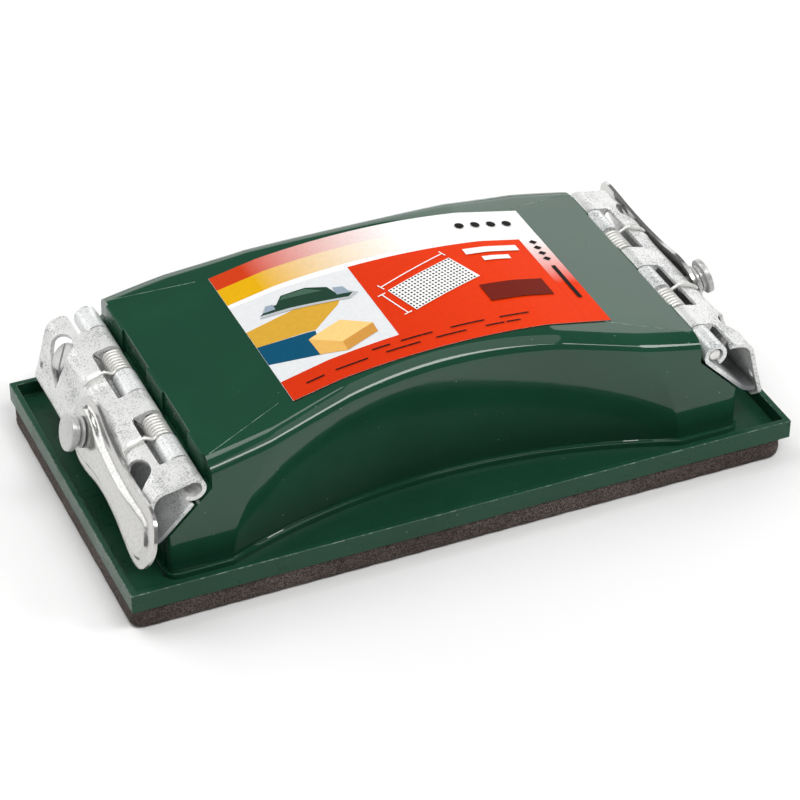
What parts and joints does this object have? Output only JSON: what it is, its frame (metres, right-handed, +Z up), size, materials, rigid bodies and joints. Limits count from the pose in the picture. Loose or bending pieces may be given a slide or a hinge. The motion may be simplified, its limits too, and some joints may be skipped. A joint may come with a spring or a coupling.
{
  "type": "sanding block",
  "caption": "Hand sanding block with an arched grip, a foam-faced base and, at each end, a sprung clamp with a swinging lever for holding abrasive paper.",
  "frame": {"origin": "centre of the foam pad's underside, the face that sands and that the block rests on", "axes": "+X along the block's length, +Y across it, +Z up through the handle"},
  "size_m": [0.1662, 0.0897, 0.0446],
  "materials": {
    "foam": "closed-cell foam rubber, dark brown, finely speckled",
    "green_plastic": "glossy injection-moulded plastic, dark green",
    "label_paper": "printed sticker, orange-red, yellow and white, no text",
    "zinc_plate": "zinc-plated sheet steel, fine grey mottling",
    "bright_steel": "bright plated steel"
  },
  "bodies": {
    "block": {"foam_pad": "foam", "base_tray": "green_plastic", "handle_shell": "green_plastic", "label": "label_paper", "right_fixed_plate": "zinc_plate", "right_hinge_pin": "bright_steel", "right_plate_screw": "bright_steel", "left_fixed_plate": "zinc_plate", "left_hinge_pin": "bright_steel", "left_plate_screw": "bright_steel"},
    "right_jaw_body": {"right_jaw": "zinc_plate", "right_spring_a": "bright_steel", "right_spring_b": "bright_steel", "right_lever_rivet": "bright_steel"},
    "right_lever_body": {"right_lever": "bright_steel", "right_lever_washer": "zinc_plate"},
    "left_jaw_body": {"left_jaw": "zinc_plate", "left_spring_a": "bright_steel", "left_spring_b": "bright_steel", "left_lever_rivet": "bright_steel"},
    "left_lever_body": {"left_lever": "bright_steel", "left_lever_washer": "zinc_plate"}
  },
  "joints": [
    {"name": "right_jaw_hinge", "type": "hinge", "parent": "block", "child": "right_jaw_body", "pos_m": [0.0646, 0, 0.0295], "axis": [0, -1, 0], "range_deg": [0, 50], "stiffness_Nm_per_rad": 0.3, "springref_deg": -34.38},
    {"name": "right_lever_pivot", "type": "hinge", "parent": "right_jaw_body", "child": "right_lever_body", "pos_m": [0.07542, 0, 0.02357], "axis": [0.9659, 0, 0.2588], "range_deg": [0, 90]},
    {"name": "left_jaw_hinge", "type": "hinge", "parent": "block", "child": "left_jaw_body", "pos_m": [-0.0646, 0, 0.0295], "axis": [0, 1, 0], "range_deg": [0, 50], "stiffness_Nm_per_rad": 0.3, "springref_deg": -34.38},
    {"name": "left_lever_pivot", "type": "hinge", "parent": "left_jaw_body", "child": "left_lever_body", "pos_m": [-0.07542, 0, 0.02357], "axis": [-0.9659, 0, 0.2588], "range_deg": [0, 90]}
  ]
}
